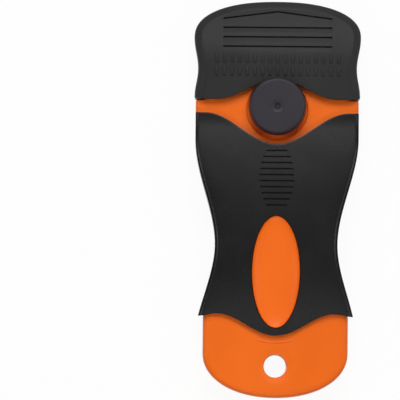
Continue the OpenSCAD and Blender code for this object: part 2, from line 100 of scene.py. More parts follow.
class ShellSizes(bpy.types.PropertyGroup):
    """Sizes of the two hard halves of the handle."""
    tail_half: length("Tail half width", 19.55, "Half the width of the tail")
    tail_round: length("Tail round", 12.0, "Length of the tail's rounded end")
    tail_power: FloatProperty(name="Tail power", default=2.1,
                              description="Power of the rounded tail, 2 for an ellipse")
    hinge_y: length("Hinge place", -50.9, "Place of the hinge bead along the handle")
    tail_relief: FloatProperty(name="Tail relief", default=0.02,
                               description="Slope of the front half's relief behind the hinge")
    tail_half_t: length("Tail half thickness", 3.2, "Half the core's thickness at the tail end")
    crest_half_t: length("Crest half thickness", 5.3, "Half the core's thickness at its thickest")
    crest_y: length("Crest place", -12.5, "Place of the thickest part along the handle")
    swell_fade: length("Swell fade", 4.0, "Length over which the swell fades out behind the ears")
    head_half_t: length("Head half thickness", 3.6, "Half the core's thickness under the knob")
    toe_half_t: length("Toe half thickness", 3.0, "Half the core's thickness at the jaw's toe")
    rim_round: length("Rim round", 1.8, "How far the rounded rim reaches in")
    jaw_half: length("Jaw half width", 20.0, "Half the width of the jaw")
    jaw_len: length("Jaw length", 9.65, "Length of the jaw, from the ears to the toe")
    corner_r: length("Corner radius", 0.45, "Radius of the ears' and the toe's corners")
    dish_r: length("Dish floor radius", 5.2, "Radius of the flat floor round the washer")
    dish_flare: length("Dish flare", 3.4, "Slope length of the dish's side, in plan")
    gap_r: length("Gap radius", 8.35, "Outer radius of the sunk gap under the knob's rim")
    gap_shift: length("Gap shift", 0.65, "How far the gap lies behind the knob's middle")
    gap_depth: length("Gap depth", 0.9, "Depth of that gap below the dish's floor")
    hang_r: length("Hang hole radius", 3.0, "Radius of the hang hole")
    hang_y: length("Hang hole place", -44.9, "Place of the hang hole along the handle")
    hole_round: length("Hole round", 0.15, "Rounding of the hang hole's two edges")
    hole_sink: length("Hole sink", 0.3, "Depth of the shallow sink round the hang hole")
    hole_sink_reach: length("Hole sink reach", 2.3, "Reach of that sink round the hole")
    screw_r: length("Screw hole radius", 2.2, "Radius of the hole round the clamp screw")
    ridge_r: length("Tail ridge radius", 0.32, "Radius of the thin curved ridge on the tail")


class GripSizes(bpy.types.PropertyGroup):
    """Sizes of the two soft grips, the oval window and the grip ribs."""
    thickness: length("Thickness", 1.3, "Thickness of the soft grip over the core")
    crown: length("Crown", 9.0, "How far the rounded shoulder reaches in")
    waist_half: length("Waist half width", 16.5, "Half the width of the grip at its waist")
    waist_y: length("Waist place", -12.3, "Place of the waist along the handle")
    shoulder_y: length("Shoulder place", 16.2, "Place of the shoulders along the handle")
    foot_y: length("Foot place", -31.7, "Place of the foot's corners along the handle")
    foot_flare: FloatProperty(name="Foot flare", default=0.24,
                              description="Outward slope of the sides at the foot")
    foot_undercut: FloatProperty(name="Foot undercut", default=0.064,
                                 description="Slope by which the foot's end wall leans under")
    foot_droop: length("Foot droop", 0.75, "How far the foot's corners droop below its crests")
    foot_crest: length("Foot crest", 16.0, "Distance of the foot's crests from the middle")
    head_dip: length("Head dip", 8.5, "How far the head's wave dips in the middle")
    head_dip_half: length("Head dip half width", 19.5, "Half the width over which the head dips")
    edge_round: length("Edge round", 0.35, "Rounding of the waved edges")
    window_half: length("Window half width", 6.46, "Half the width of the oval window")
    window_len: length("Window length", 30.1, "Length of the oval window")
    window_flare: length("Window flare", 0.25, "How far the window's edge is rounded outwards")
    window_y: length("Window place", -19.7, "Place of the window's middle along the handle")
    thumb_depth: length("Thumb rest depth", 2.0, "Depth of the oval thumb rest")
    rib_count: IntProperty(name="Ribs", default=10, description="Number of grip ribs")
    rib_pitch: length("Rib pitch", 1.634, "Distance between two grip ribs")
    rib_len: length("Rib length", 9.3, "Length of the longest grip rib")
    rib_depth: length("Rib depth", 0.85, "Depth of the grip ribs")
    rib_gap: length("Rib gap", 1.5, "Distance of the last rib behind the head's wave")


class CapSizes(bpy.types.PropertyGroup):
    """Sizes of the pull-off cap, its ribs and its rows of grip bars."""
    waist_half: length("Waist half width", 21.45, "Half the cap's width at its waist")
    mouth_half: length("Mouth half width", 22.37, "Half the cap's width at its mouth")
    mouth_round: length("Mouth corner", 0.8, "Rounding of the mouth's two corners")
    edge_round: length("Mouth edge round", 0.3, "Rounding of the mouth's edge")
    nose_round: length("Nose round", 9.8, "Length of the rounded nose")
    nose_half_t: length("Nose half thickness", 3.4, "Half the cap's thickness at its nose")
    nose_power: FloatProperty(name="Nose power", default=2.3,
                              description="Power of the rounded nose, 2 for an ellipse")
    arch_rise: length("Arch rise", 5.4, "Rise of the arch in the mouth")
    arch_half: length("Arch half width", 16.5, "Half the width of the arch in the mouth")
    arch_fade: length("Arch fade", 15.0, "Length over which the arch's pull fades out")
    flank_in: length("Flank reach", 2.2, "How far the rounded flank reaches in")
    bead_in: length("Bead place", 1.95, "Distance of the thin bead from the cap's side")
    bead_reach: length("Bead reach", 0.4, "Half the width of the bead")
    bead_rise: length("Bead rise", 0.25, "Rise of the bead over the cap's face")
    wall: length("Wall", 1.4, "Wall of the cap over and under the jaw")
    pocket_half: length("Pocket half width", 20.27, "Half the width of the jaw's pocket")
    pocket_r: length("Pocket corner", 2.0, "Radius of the pocket's rounded corners")
    slot_half_t: length("Slot half height", 1.9, "Half the height of the slot round the edge")
    rib_count: IntProperty(name="Ribs", default=3, description="Number of straight ribs")
    rib_pitch: length("Rib pitch", 2.6, "Distance between two ribs")
    rib_len: length("Rib length", 29.4, "Length of the ribs")
    rib_depth: length("Rib depth", 1.0, "Depth of the ribs")
    rib_run: length("Rib run", 1.5, "Run of a rib's ramp back to the skin")
    rib_back: length("First rib place", 7.0, "Distance of the first straight rib behind the nose")
    bent_back: length("Bent rib place", 2.65, "Distance of the bent rib's tip behind the nose")
    bent_fall: length("Bent rib fall", 1.9, "How far the bent rib's ends fall behind its tip")
    bar_count: IntProperty(name="Bars", default=17, description="Raised grip bars in a row")
    bar_pitch: length("Bar pitch", 2.05, "Distance between two bars")
    bar_row_y: length("Bar row place", 37.8, "Place of the front row of bars")
    bar_row_gap: length("Bar row gap", 3.5, "Distance between the two rows")


class ClampSizes(bpy.types.PropertyGroup):
    """Sizes of the knob, the screw, the nut and the washer."""
    knob_round: length("Knob round", 0.6, "Rounding of the knob's upper rim")
    knob_draft: length("Knob draft", 0.4, "How far the knob's side leans in towards its top")
    disc_t: length("Disc thickness", 4.0, "Thickness of the knob's disc")
    hub_play: length("Hub play", 0.02, "Play between the hub and the washer")
    hub_r: length("Hub radius", 5.0, "Radius of the knob's hub")
    dimple_r: length("Dimple radius", 0.85, "Radius of the dimple in the knob")
    dimple_depth: length("Dimple depth", 0.8, "Depth of the dimple in the knob")
    thread_pitch: length("Thread pitch", 0.7, "Pitch of the screw's thread")
    thread_depth: length("Thread depth", 0.2, "Depth of the screw's thread")


class Finishes(bpy.types.PropertyGroup):
    """Colours of the materials."""
    orange: colour("Orange", (0.95, 0.165, 0.009), "Moulded orange plastic")
    orange_deep: colour("Deep orange", (0.87, 0.14, 0.007), "Darker flow marks in the orange")
    rubber: colour("Rubber", (0.0055, 0.0055, 0.006), "Soft black grip")
    rubber_worn: colour("Worn rubber", (0.0085, 0.0085, 0.009), "Dusty patches on the grip")
    cap: colour("Cap", (0.029, 0.029, 0.0295), "Moulded black cap")
    cap_worn: colour("Worn cap", (0.036, 0.036, 0.0365), "Handled patches on the cap")
    knob: colour("Knob", (0.031, 0.027, 0.035), "Charcoal knob")
    knob_worn: colour("Worn knob", (0.039, 0.034, 0.044), "Handled rim of the knob")
    steel: colour("Steel", (0.36, 0.365, 0.37), "Ground blade steel")
    # Edge steel is brighter than the steel: the ground edge's real finish with a painted highlight
    # on top.
    steel_edge_highlight: colour("Edge steel", (0.80, 0.81, 0.82), "Ground edge of the blade")
    # The grind line is painted shade: a dark band where the ground bevel starts.
    steel_crease_shade: colour("Grind line", (0.16, 0.162, 0.166), "Line where the ground edge starts")
    zinc: colour("Zinc", (0.48, 0.49, 0.50), "Zinc-plated fasteners")
    zinc_dull: colour("Dull zinc", (0.30, 0.31, 0.32), "Dull patches of the zinc")


class StageSettings(bpy.types.PropertyGroup):
    """Camera, lamps and floor."""
    lens: FloatProperty(name="Lens", default=500.0, description="Focal length in millimetres")
    view_width: length("View width", 108.0, "Width that the picture covers")
    view_x: length("View place X", -20.6, "Middle of the picture, across")
    view_y: length("View place Y", -0.25, "Middle of the picture, along")
    tilt: FloatProperty(name="Tilt", default=math.radians(3.0), subtype="ANGLE",
                        description="Lean of the line of sight towards the tail's side")
    roll: FloatProperty(name="Roll", default=math.radians(0.55), subtype="ANGLE",
                        description="Turn of the camera about its own line of sight")
    front_power: FloatProperty(name="Front lamp", default=24.5, unit="POWER",
                               description="Power of the soft lamp over the cap")
    back_power: FloatProperty(name="Back lamp", default=8.0, unit="POWER",
                              description="Power of the soft lamp over the tail")
    side_power: FloatProperty(name="Side lamps", default=3.5, unit="POWER",
                              description="Power of each of the two soft lamps at the sides")
    strip_power: FloatProperty(name="Strips", default=1.4, unit="POWER",
                               description="Power of each of the two strips that the grip mirrors")
    fill: FloatProperty(name="Fill", default=0.08, description="Strength of the room's light")
    floor: FloatProperty(name="Floor share", default=0.94,
                         description="Share of the floor that is plain white to the camera")


def sizes(name):
    """The scene's property group of that name."""
    return getattr(bpy.context.scene, "scraper_" + name)


# Outlines, all in metres

def ease(t):
    """Smooth step from 0 to 1 as t goes from 0 to 1."""
    return (1 - math.cos(math.pi * min(1.0, max(0.0, t)))) / 2


def eased(y, start, end):
    """Smooth step between two (place, value) pairs."""
    return start[1] + (end[1] - start[1]) * ease((y - start[0]) / (end[0] - start[0]))


def bend(start, end, slope, span, t):
    """Smooth curve between two values, which starts at a slope."""
    return start + (end - start) * (3 - 2 * t) * t * t + slope * span * t * (1 - t) ** 2


def grip_half(y):
    """Half the width of the grip's outer side."""
    g, foot_half = sizes("grip"), sizes("shell").tail_half + sizes("grip").thickness
    if y < g.foot_y:
        return foot_half + g.foot_flare * (g.foot_y - y)
    if y < g.waist_y:
        span = g.waist_y - g.foot_y
        return bend(foot_half, g.waist_half, -g.foot_flare, span, (y - g.foot_y) / span)
    if y < g.shoulder_y:
        span = g.shoulder_y - g.waist_y
        return bend(g.waist_half, EAR_HALF, 0, span, (y - g.waist_y) / span)
    return EAR_HALF


def core_half(y):
    """Half the width of the hard core, under the grip and in the tail."""
    g = sizes("grip")
    return sizes("shell").tail_half if y < g.foot_y else grip_half(y) - g.thickness


def fall(t, steep):
    """Share of a fall at t, from 0 to 1, which is steepest at the share steep."""
    return t * t / steep if t < steep else 1 - (1 - t) ** 2 / (1 - steep)


def swell(y, steep_y, far_y, far_half_t):
    """Half the thickness between the crest and a far place."""
    s = sizes("shell")
    reach = far_y - s.crest_y
    share = fall((y - s.crest_y) / reach, (steep_y - s.crest_y) / reach)
    return s.crest_half_t + (far_half_t - s.crest_half_t) * share


def core_half_t(y):
    """Half the thickness of the hard core."""
    s = sizes("shell")
    if y < s.crest_y:
        return swell(y, sizes("grip").foot_y, TAIL_Y, s.tail_half_t)
    if y < EAR_BACK_Y:
        return swell(y, EAR_BACK_Y - s.swell_fade, EAR_BACK_Y, s.head_half_t)
    return eased(y, (KNOB_Y, s.head_half_t), (TOE_Y, s.toe_half_t))


def grip_half_t(y):
    """Half the thickness at the grip's outer side."""
    return core_half_t(y) + sizes("grip").thickness


def cap_half(y):
    """Half the width of the cap behind its nose."""
    c = sizes("cap")
    nose_side = NOSE_Y - c.nose_round
    waist_y = (MOUTH_Y + nose_side) / 2
    if y < waist_y:
        return eased(y, (MOUTH_Y + c.mouth_round, c.mouth_half), (waist_y, c.waist_half))
    return eased(y, (waist_y, c.waist_half), (nose_side, CAP_HALF))


def cap_half_t(y):
    """Half the cap's thickness."""
    return eased(y, (TOE_Y, MID_Z), (NOSE_Y, sizes("cap").nose_half_t))


def head_wave(x):
    """Place of the grip's waved edge behind the knob."""
    g = sizes("grip")
    return EAR_BACK_Y - g.head_dip * (1 - ease(abs(x) / g.head_dip_half))


def foot_wave(x):
    """Place of the grip's waved edge at the foot."""
    g = sizes("grip")
    foot_half = sizes("shell").tail_half + g.thickness
    dip = g.foot_y + g.foot_droop - FOOT_DIP_Y
    droop = g.foot_droop * (1 - ease((abs(x) - g.foot_crest) / (foot_half - g.foot_crest)))
    return g.foot_y + droop - dip * (1 - ease(abs(x) / g.foot_crest))


def mouth_wave(x):
    """Place of the cap's arched mouth."""
    c = sizes("cap")
    return MOUTH_Y + c.arch_rise * (1 - ease(abs(x) / c.arch_half))


def round_end(half, reach, y, power, way, steps):
    """Rim points of a rounded end: place, then the direction in which layers draw in."""
    points = []
    for i in range(steps):
        t = math.pi / 2 * i / steps
        u, v = math.cos(t) ** (2 / power), way * math.sin(t) ** (2 / power)
        points.append((half * u, y + reach * v, u, v))
    points.append((half * 0.02, y + reach * way, 0.02, way))
    return points


def side(start, end, half, step=1.0 * MM):
    """Rim points along a side, between two places."""
    count = max(1, round((end - start) / step))
    places = [start + (end - start) * i / count for i in range(count + 1)]
    return [(half(y), y, 1, 0) for y in places]


def corner(half, y, pull):
    """Rounded corner whose points draw in sideways, and back by the share pull."""
    r, steps = sizes("shell").corner_r, 5
    turns = [math.pi / 2 * i / steps for i in range(steps + 1)]
    return [(half - r * (1 - math.cos(t)), y - r * (1 - math.sin(t)), 1, pull) for t in turns]


def core_rim():
    """Rim of the hard core: tail, sides, ears, jaw and toe."""
    s = sizes("shell")
    ear_y = TOE_Y - s.jaw_len
    start = TAIL_Y + s.tail_round
    tail = round_end(s.tail_half, s.tail_round, start, s.tail_power, -1, 28)[::-1]
    return (tail + side(start + MM, EAR_BACK_Y, core_half)
            + [(EAR_HALF, EAR_BACK_Y + SEAM, 1, 0)]
            + corner(EAR_HALF, ear_y, 0.15)
            + [(s.jaw_half, ear_y + SEAM, 1, 0.15), (s.jaw_half, ear_y + s.corner_r, 1, 0)]
            + side(ear_y + 2 * s.corner_r, TOE_Y - s.corner_r - s.rim_round - SEAM,
                   lambda y: s.jaw_half)
            + corner(s.jaw_half, TOE_Y, 1))


def cap_rim():
    """Rim of the cap: mouth's corner, side and nose."""
    c = sizes("cap")
    nose_side = NOSE_Y - c.nose_round
    return ([(c.mouth_half - c.mouth_round, MOUTH_Y, 1, 0),
             (c.mouth_half - c.mouth_round / 3, MOUTH_Y + c.mouth_round / 3, 1, 0),
             (c.mouth_half, MOUTH_Y + c.mouth_round, 1, 0)]
            + side(MOUTH_Y + 3 * c.mouth_round, nose_side - 0.5 * MM, cap_half, 0.8 * MM)
            + round_end(CAP_HALF, c.nose_round, nose_side, c.nose_power, 1, 30))


def thumb_rim(seam=SEAM):
    """Rim of the oval thumb rest, drawn in by the seam."""
    g = sizes("grip")
    half, reach = g.window_half - seam, g.window_len / 2 - seam
    return (round_end(half, reach, g.window_y, 2, -1, 26)[::-1]
            + round_end(half, reach, g.window_y, 2, 1, 26)[1:])


# Mesh helpers

def along(points, t):
    """Point at t, from 0 to 1, on a smooth curve through the given points."""
    span = t * (len(points) - 1)
    i = min(int(span), len(points) - 2)
    u = span - i
    last = len(points) - 1
    p0, p1, p2, p3 = (Vector(points[min(last, max(0, i + k))]) for k in (-1, 0, 1, 2))
    place = (2 * p1 + (p2 - p0) * u + (2 * p0 - 5 * p1 + 4 * p2 - p3) * u * u
             + (3 * p1 - p0 - 3 * p2 + p3) * u ** 3) / 2
    return min(1.0, max(0.0, place[0])), min(1.0, max(0.0, place[1]))


def shape_rim(bm, rim, z):
    """A ring of vertices on the rim's right side and its mirror image."""
    tag = bm.verts.layers.int.new("rim")
    count = len(rim)
    ring = bmesh.ops.create_circle(bm, segments=2 * count, radius=1)["verts"]
    for place, vert in enumerate(ring):
        point = rim[place] if place < count else rim[2 * count - 1 - place]
        vert.co = (point[0] if place < count else -point[0], point[1], z)
        vert[tag] = place
    return list(bm.edges)


def raise_layers(bm, edges, rim, shares, reach, height, way=1):
    """Extrudes the ring up (way 1) or down (-1) in layers, and closes it with a lid."""
    tag = bm.verts.layers.int["rim"]
    count = len(rim)
    for inset, rise in shares:
        made = bmesh.ops.extrude_edge_only(bm, edges=edges)["geom"]
        fresh = {v for v in made if isinstance(v, bmesh.types.BMVert)}
        edges = [e for e in made if isinstance(e, bmesh.types.BMEdge)
                 and e.verts[0] in fresh and e.verts[1] in fresh]
        for vert in fresh:
            place = vert[tag]
            right = place < count
            point = rim[place] if right else rim[2 * count - 1 - place]
            x, y = point[0] - inset * reach * point[2], point[1] - inset * reach * point[3]
            vert.co = (x if right else -x, y, MID_Z + way * rise * height(y))
    close_ring(bm, edges, count)


def close_ring(bm, edges, count):
    """Lid between the right and the left half of a ring."""
    tag = bm.verts.layers.int["rim"]
    chains = [e for e in edges if (e.verts[0][tag] < count) == (e.verts[1][tag] < count)]
    bmesh.ops.bridge_loops(bm, edges=chains)


def split_across(bm, count, cuts):
    """Cuts all the edges that cross from right to left, so that a lid can be shaped."""
    tag = bm.verts.layers.int["rim"]
    cross = [e for e in bm.edges if (e.verts[0][tag] < count) != (e.verts[1][tag] < count)]
    bmesh.ops.subdivide_edges(bm, edges=cross, cuts=cuts, use_grid_fill=True)


def curve_shares(points, steps, first=1):
    """Layers along a smooth curve."""
    return [along(points, i / steps) for i in range(first, steps + 1)]


def soften(bm):
    """Smooth shading, with the edges sharper than a crease kept crisp."""
    for face in bm.faces:
        face.smooth = True
    for edge in bm.edges:
        edge.smooth = not edge.is_manifold or edge.calc_face_angle(0.0) < CREASE


def settle_order(bm):
    """Puts vertices and faces in an order that their places alone give, the same each run."""
    bm.verts.sort(key=lambda v: v.co.dot(ORDER_AXIS))
    bm.faces.sort(key=lambda f: sum(v.co.dot(ORDER_AXIS) for v in f.verts) / len(f.verts))


def mesh_object(name, bm):
    """Object at the origin that holds the bmesh."""
    bmesh.ops.recalc_face_normals(bm, faces=bm.faces)
    soften(bm)
    settle_order(bm)
    mesh = bpy.data.meshes.new(name)
    bm.to_mesh(mesh)
    bm.free()
    piece = bpy.data.objects.new(name, mesh)
    bpy.context.scene.collection.objects.link(piece)
    return piece


def cut(piece, cutters):
    """Cuts the cutters out of the piece, and removes them."""
    for cutter in cutters:
        step = piece.modifiers.new("cut", "BOOLEAN")
        step.operation, step.object, step.solver = "DIFFERENCE", cutter, "EXACT"
    bpy.context.view_layer.update()
    shown = piece.evaluated_get(bpy.context.evaluated_depsgraph_get())
    mesh = bpy.data.meshes.new_from_object(shown)
    piece.modifiers.clear()
    old, piece.data = piece.data, mesh
    mesh.name = piece.name
    bpy.data.meshes.remove(old)
    for cutter in cutters:
        bpy.data.meshes.remove(cutter.data)
    bm = bmesh.new()
    bm.from_mesh(mesh)
    bmesh.ops.remove_doubles(bm, verts=bm.verts, dist=WELD)
    bmesh.ops.dissolve_degenerate(bm, edges=bm.edges, dist=WELD)
    soften(bm)
    settle_order(bm)
    bm.to_mesh(mesh)
    bm.free()


def dress(piece, material, body, slot, *nodes):
    """Gives a piece its material and its body, and hides the nodes that it stands for. The slot is
    not used.
    """
    piece.data.materials.clear()
    piece.data.materials.append(material)
    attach(piece, body)
    if nodes:
        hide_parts(*nodes)


def lathe(profile, y, steps):
    """bmesh of a profile of (radius, height) turned round an upright axis."""
    bm = bmesh.new()
    verts = [bm.verts.new((r, y, z)) for r, z in profile]
    edges = [bm.edges.new(pair) for pair in zip(verts, verts[1:])]
    bmesh.ops.spin(bm, geom=verts + edges, cent=(0, y, 0), axis=(0, 0, 1),
                   angle=2 * math.pi, steps=steps, use_merge=True)
    bmesh.ops.remove_doubles(bm, verts=bm.verts, dist=0.0005 * MM)
    bmesh.ops.dissolve_degenerate(bm, edges=bm.edges, dist=0.0005 * MM)
    return bm


def round_edges(bm, edges, reach, segments, clamp=False):
    """Rounds edges by a reach, held back where they would overlap if clamped."""
    bmesh.ops.bevel(bm, geom=edges, offset=reach, offset_type="OFFSET", segments=segments,
                    profile=0.5, affect="EDGES", material=-1, clamp_overlap=clamp)


def quarter(cx, cz, r, start, steps):
    """Quarter turn of a round, from the start angle, anticlockwise."""
    turns = [start + math.pi / 2 * i / steps for i in range(steps + 1)]
    return [(cx + r * math.cos(t), cz + r * math.sin(t)) for t in turns]


def block(low, high):
    """bmesh of a block between two corners."""
    bm = bmesh.new()
    middle = [(a + b) / 2 for a, b in zip(low, high)]
    size = [b - a for a, b in zip(low, high)]
    place = Matrix.Translation(middle) @ Matrix.Diagonal((*size, 1))
    bmesh.ops.create_cube(bm, size=1, matrix=place)
    return bm


def add_wedge(bm, y, half, back_half, depth, run, ramp, top, rise=0.0):
    """Adds a wedge: a narrow slot at its front edge, then a ramp up to the skin behind it,
    from the share ramp of its depth. The middle of its front edge may stand forward by rise."""
    lip, slot, over = 0.03 * MM, 0.42 * MM, 3 * MM
    before = set(bm.verts)
    bmesh.ops.create_cube(bm, size=1)
    for level, across in ((0, (1, 0, 0)), (0.2, (0, 1, 0)), (0.1, (0, 1, 0))):
        parts = [g for g in list(bm.verts) + list(bm.edges) + list(bm.faces)
                 if before.isdisjoint([g] if isinstance(g, bmesh.types.BMVert) else g.verts)]
        bmesh.ops.bisect_plane(bm, geom=parts, plane_co=(0, level, 0), plane_no=across, dist=1e-6)
    depths = {5: (0, depth), 2: (slot, depth), 1: (slot, depth * ramp), -5: (run, lip)}
    for vert in set(bm.verts) - before:
        back, deep = depths[round(vert.co.y * 10)]
        reach = half + (back_half - half) * back / run
        middle = abs(vert.co.x) < 0.1
        shift = rise if middle else 0.0
        place = y - back + shift
        z = MID_Z + top(place) + (over if vert.co.z > 0 else -deep)
        vert.co = (0 if middle else math.copysign(reach, vert.co.x), place, z)


# Materials

def material(name, base, roughness, metallic=0.0):
    """A new material, its node tree and its shader."""
    made = bpy.data.materials.new(name)
    made.use_nodes = True
    shader = made.node_tree.nodes["Principled BSDF"]
    shader.inputs["Base Color"].default_value = (*base, 1)
    shader.inputs["Roughness"].default_value = roughness
    shader.inputs["Metallic"].default_value = metallic
    return made, made.node_tree, shader


def noise(tree, scale, detail, stretch=(1, 1, 1)):
    """Noise on the object's own coordinates."""
    place = tree.nodes.new("ShaderNodeTexCoord")
    mapping = tree.nodes.new("ShaderNodeMapping")
    mapping.inputs["Scale"].default_value = stretch
    tree.links.new(place.outputs["Object"], mapping.inputs["Vector"])
    field = tree.nodes.new("ShaderNodeTexNoise")
    field.inputs["Scale"].default_value = scale
    field.inputs["Detail"].default_value = detail
    tree.links.new(mapping.outputs["Vector"], field.inputs["Vector"])
    return field.outputs["Fac"]


def ramp(tree, value, low, high, colours):
    """Colours between two levels of a value."""
    made = tree.nodes.new("ShaderNodeValToRGB")
    made.color_ramp.elements[0].position, made.color_ramp.elements[1].position = low, high
    made.color_ramp.elements[0].color = (*colours[0], 1)
    made.color_ramp.elements[1].color = (*colours[1], 1)
    tree.links.new(value, made.inputs["Fac"])
    return made.outputs["Color"]


def span(tree, value, low, high, start, end):
    """A value mapped from one range to another."""
    made = tree.nodes.new("ShaderNodeMapRange")
    for name, number in zip(("From Min", "From Max", "To Min", "To Max"), (low, high, start, end)):
        made.inputs[name].default_value = number
    tree.links.new(value, made.inputs["Value"])
    return made.outputs["Result"]


def bump(tree, shader, fields):
    """Bumps of several heights, each a field, its depth in metres and its strength."""
    last = None
    for field, depth, strength in fields:
        made = tree.nodes.new("ShaderNodeBump")
        made.inputs["Distance"].default_value = depth
        made.inputs["Strength"].default_value = strength
        tree.links.new(field, made.inputs["Height"])
        if last:
            tree.links.new(last, made.inputs["Normal"])
        last = made.outputs["Normal"]
    tree.links.new(last, shader.inputs["Normal"])


def plastic(name, base, worn, roughness, spread, grain, grain_depth, specular):
    """Moulded plastic or rubber: flow marks in its colour, grain in its skin."""
    made, tree, shader = material(name, base, roughness)
    shader.inputs["Specular IOR Level"].default_value = specular
    flow = noise(tree, 45, 4, (1, 0.5, 1))
    tree.links.new(ramp(tree, flow, 0.35, 0.75, (base, worn)), shader.inputs["Base Color"])
    patches = noise(tree, 140, 5)
    tree.links.new(span(tree, patches, 0.3, 0.7, roughness - spread, roughness + spread),
                   shader.inputs["Roughness"])
    bump(tree, shader, [(noise(tree, grain, 2), grain_depth, 0.6),
                        (noise(tree, grain / 6, 3), grain_depth, 0.12)])
    return made


def metal(name, base, dull, roughness, stretch, grain):
    """Steel with fine lines or patches."""
    made, tree, shader = material(name, base, roughness, 1.0)
    lines = noise(tree, grain, 4, stretch)
    tree.links.new(ramp(tree, lines, 0.3, 0.7, (dull, base)), shader.inputs["Base Color"])
    tree.links.new(span(tree, lines, 0.3, 0.7, roughness - 0.07, roughness + 0.1),
                   shader.inputs["Roughness"])
    bump(tree, shader, [(lines, 0.004 * MM, 0.5)])
    return made


def laid_over(tree, share, below, top):
    """A colour laid over another one by a share."""
    mix = tree.nodes.new("ShaderNodeMix")
    mix.data_type = "RGBA"
    mix.inputs[MIX_TOP].default_value = (*top, 1)
    tree.links.new(share, mix.inputs["Factor"])
    tree.links.new(below, mix.inputs[MIX_BELOW])
    return mix.outputs[MIX_RESULT]


def blade_steel():
    """Brushed blade steel, with a dark band of painted shade where the ground bevel starts, and
    then a ground edge painted brighter, partly its real ground finish and partly a painted
    highlight.
    """
    f = sizes("finishes")
    dull = tuple(c * 0.8 for c in f.steel)
    made = metal("ground_blade_steel", f.steel, dull, 0.4, (1, 12, 1), 300)
    tree = made.node_tree
    shader = tree.nodes["Principled BSDF"]
    brushed = shader.inputs["Base Color"].links[0].from_socket
    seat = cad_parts["blade"].matrix_world
    place = tree.nodes.new("ShaderNodeTexCoord")
    along_y = tree.nodes.new("ShaderNodeVectorMath")
    along_y.operation = "DOT_PRODUCT"
    along_y.inputs[1].default_value = seat.inverted().to_3x3() @ Vector((0, 1, 0))
    tree.links.new(place.outputs["Object"], along_y.inputs[0])
    start = BLADE_EDGE_Y - seat.translation.y - 1.15 * MM
    # Painted highlight: the ground edge is laid over in the brighter edge steel, on top of its
    # real ground finish.
    edge = span(tree, along_y.outputs["Value"], start, start + 0.1 * MM, 0, 1)
    # Painted shade: a dark band behind the ground edge, where its bevel starts.
    line = span(tree, along_y.outputs["Value"], start - 0.5 * MM, start - 0.2 * MM, 0, 1)
    lined = laid_over(tree, line, brushed, f.steel_crease_shade)
    tree.links.new(laid_over(tree, edge, lined, f.steel_edge_highlight), shader.inputs["Base Color"])
    return made


def finish(name):
    """The material of that finish, made once."""
    if name in bpy.data.materials:
        return bpy.data.materials[name]
    f = sizes("finishes")
    if name == "orange_plastic":
        return plastic(name, f.orange, f.orange_deep, 0.38, 0.04, 2600, 0.010 * MM, 0.2)
    if name == "soft_rubber":
        return plastic(name, f.rubber, f.rubber_worn, 0.27, 0.02, 3600, 0.009 * MM, 0.4)
    if name == "cap_plastic":
        return plastic(name, f.cap, f.cap_worn, 0.38, 0.04, 3000, 0.014 * MM, 0.07)
    if name == "knob_plastic":
        return plastic(name, f.knob, f.knob_worn, 0.42, 0.04, 3000, 0.012 * MM, 0.2)
    return metal(name, f.zinc, f.zinc_dull, 0.34, (1, 1, 1), 900)


# Operators

class PieceOperator:
    """What the operators share: each makes its piece in build."""
    bl_options = {"REGISTER", "UNDO"}

    def execute(self, context):
        self.build()
        return {"FINISHED"}


def core_half_mesh(way):
    """Half of the hard core, above (1) or below (-1) the parting plane."""
    rim, layers, cuts = core_rim(), 8, 56
    bm = bmesh.new()
    ring = shape_rim(bm, rim, MID_Z)
    raise_layers(bm, ring, rim, [(0, 0.28)] + curve_shares(CORE_LAYERS[1:], layers, 0),
                 sizes("shell").rim_round, core_half_t, way)
    close_ring(bm, ring, len(rim))
    split_across(bm, len(rim), cuts)
    return bm


def hang_cutter():
    """Plug of the hang hole, flared where it meets the two skins."""
    s = sizes("shell")
    half_t, r = core_half_t(s.hang_y), s.hole_round
    upper = quarter(s.hang_r + r, half_t - r, r, math.pi / 2, 5)[::-1]
    profile = [(0, -THROUGH), (s.hang_r + r, -THROUGH)]
    profile += [(x, -z) for x, z in upper] + [(x, z) for x, z in upper[::-1]]
    profile += [(s.hang_r + r, THROUGH), (0, THROUGH)]
    return mesh_object("hang_cutter", lathe([(x, MID_Z + z) for x, z in profile], s.hang_y, 72))


def window_cutter(low):
    """Plug of the grip's oval window, from a height up, flared at the grip's skin."""
    g, rim = sizes("grip"), thumb_rim(0)
    bm = bmesh.new()
    ring = shape_rim(bm, rim, low)
    flare = g.window_flare / g.window_half
    raise_layers(bm, ring, rim, [(0, 0.952), (-0.3 * flare, 0.978), (-flare, 1.0), (-flare, 1.3)],
                 g.window_half, grip_half_t)
    close_ring(bm, ring, len(rim))
    return mesh_object("window", bm)


def prism(r, low, high, segments=64):
    """bmesh of an upright prism on the knob's axis, with two corners on X where it has six."""
    bm = bmesh.new()
    place = Matrix.Translation((0, KNOB_Y, (low + high) / 2))
    if segments == 6:
        place = place @ Matrix.Rotation(math.radians(90), 4, "Z")
    bmesh.ops.create_cone(bm, cap_ends=True, segments=segments, radius1=r, radius2=r,
                          depth=high - low, matrix=place)
    return bm


